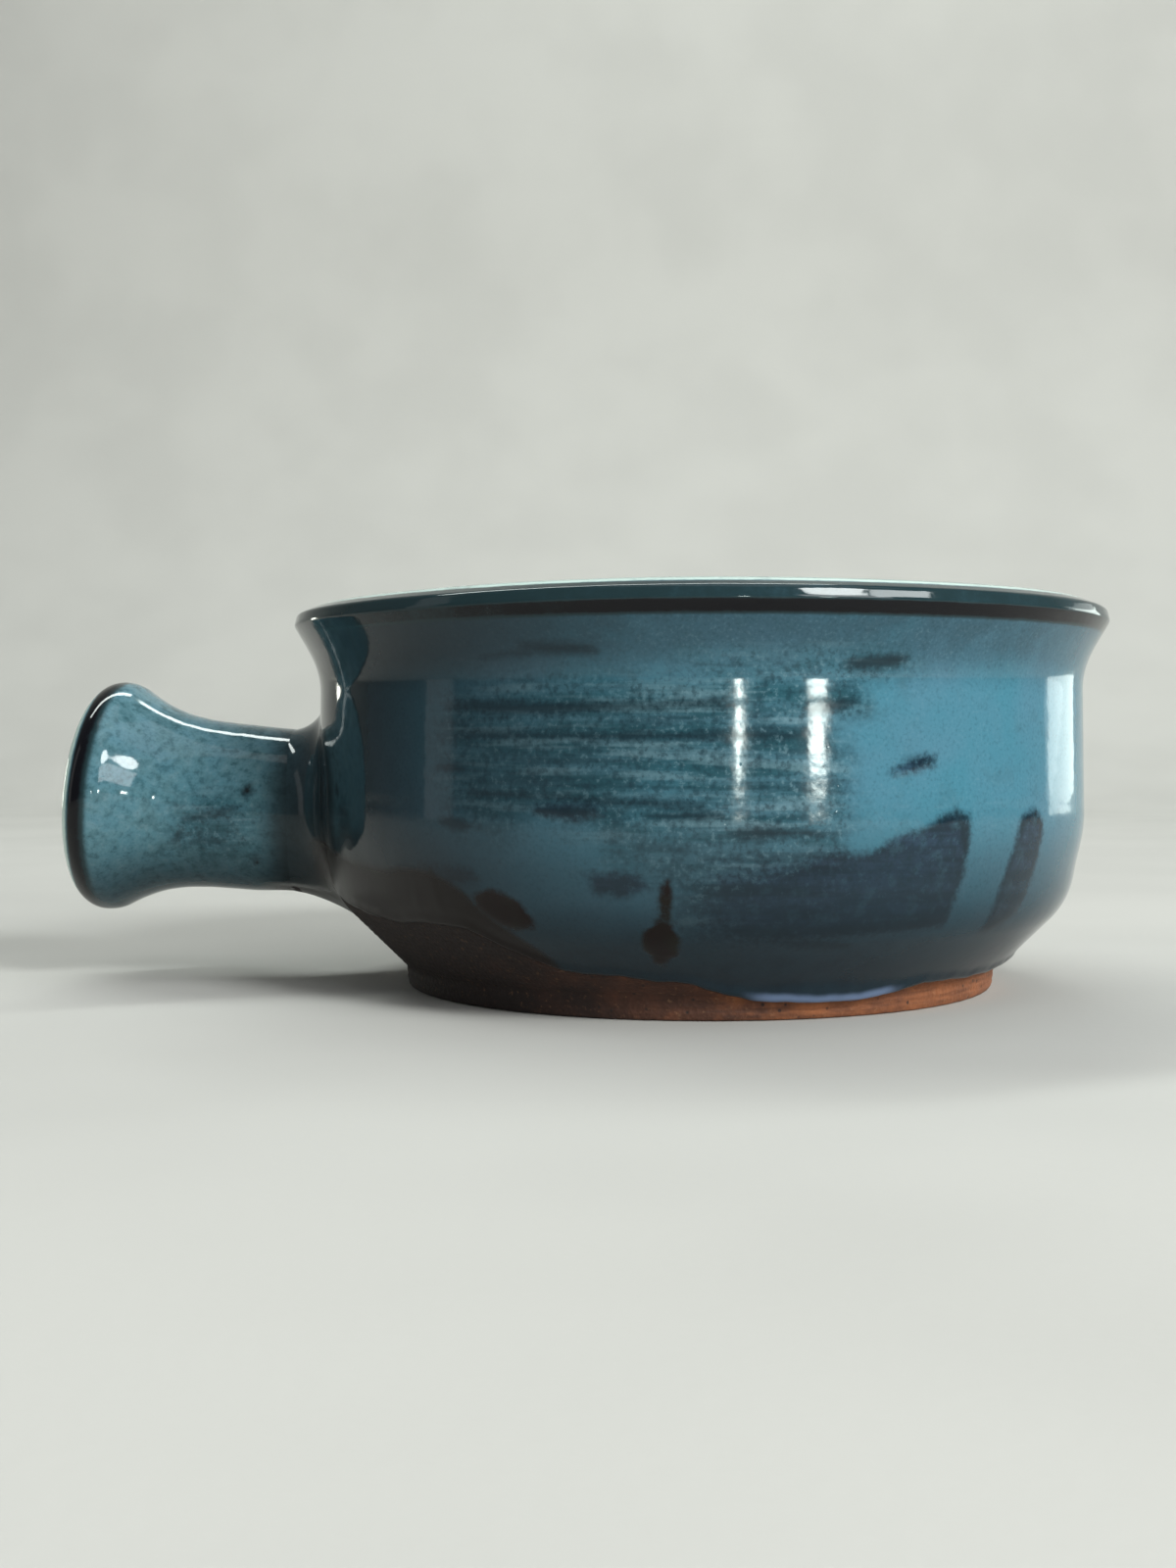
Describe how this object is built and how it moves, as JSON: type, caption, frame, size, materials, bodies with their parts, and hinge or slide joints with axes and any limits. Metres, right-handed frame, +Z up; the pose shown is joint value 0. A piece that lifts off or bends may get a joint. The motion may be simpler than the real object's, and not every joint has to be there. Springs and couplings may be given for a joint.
{
  "type": "lug soup bowl",
  "caption": "Glazed stoneware soup bowl with a flared, bevelled lip, a low turned foot and a hollow trumpet handle luted to its side.",
  "frame": {"origin": "centre of the foot, on the surface that the bowl stands on", "axes": "+Z up along the bowl's axis, -X along the handle, so the picture looks along about +Y"},
  "size_m": [0.1802, 0.14, 0.065],
  "materials": {
    "stoneware": "matte",
    "slip": "matte",
    "outside_glaze": "gloss",
    "liner_glaze": "gloss"
  },
  "bodies": {
    "root": {"bowl_body": "stoneware", "handle_stub": "stoneware", "slip_joint": "slip", "root_coil": "stoneware", "bowl_glaze": "outside_glaze", "liner_glaze": "liner_glaze", "root_glaze": "outside_glaze", "handle_glaze": "outside_glaze", "socket_glaze": "outside_glaze"}
  },
  "joints": []
}
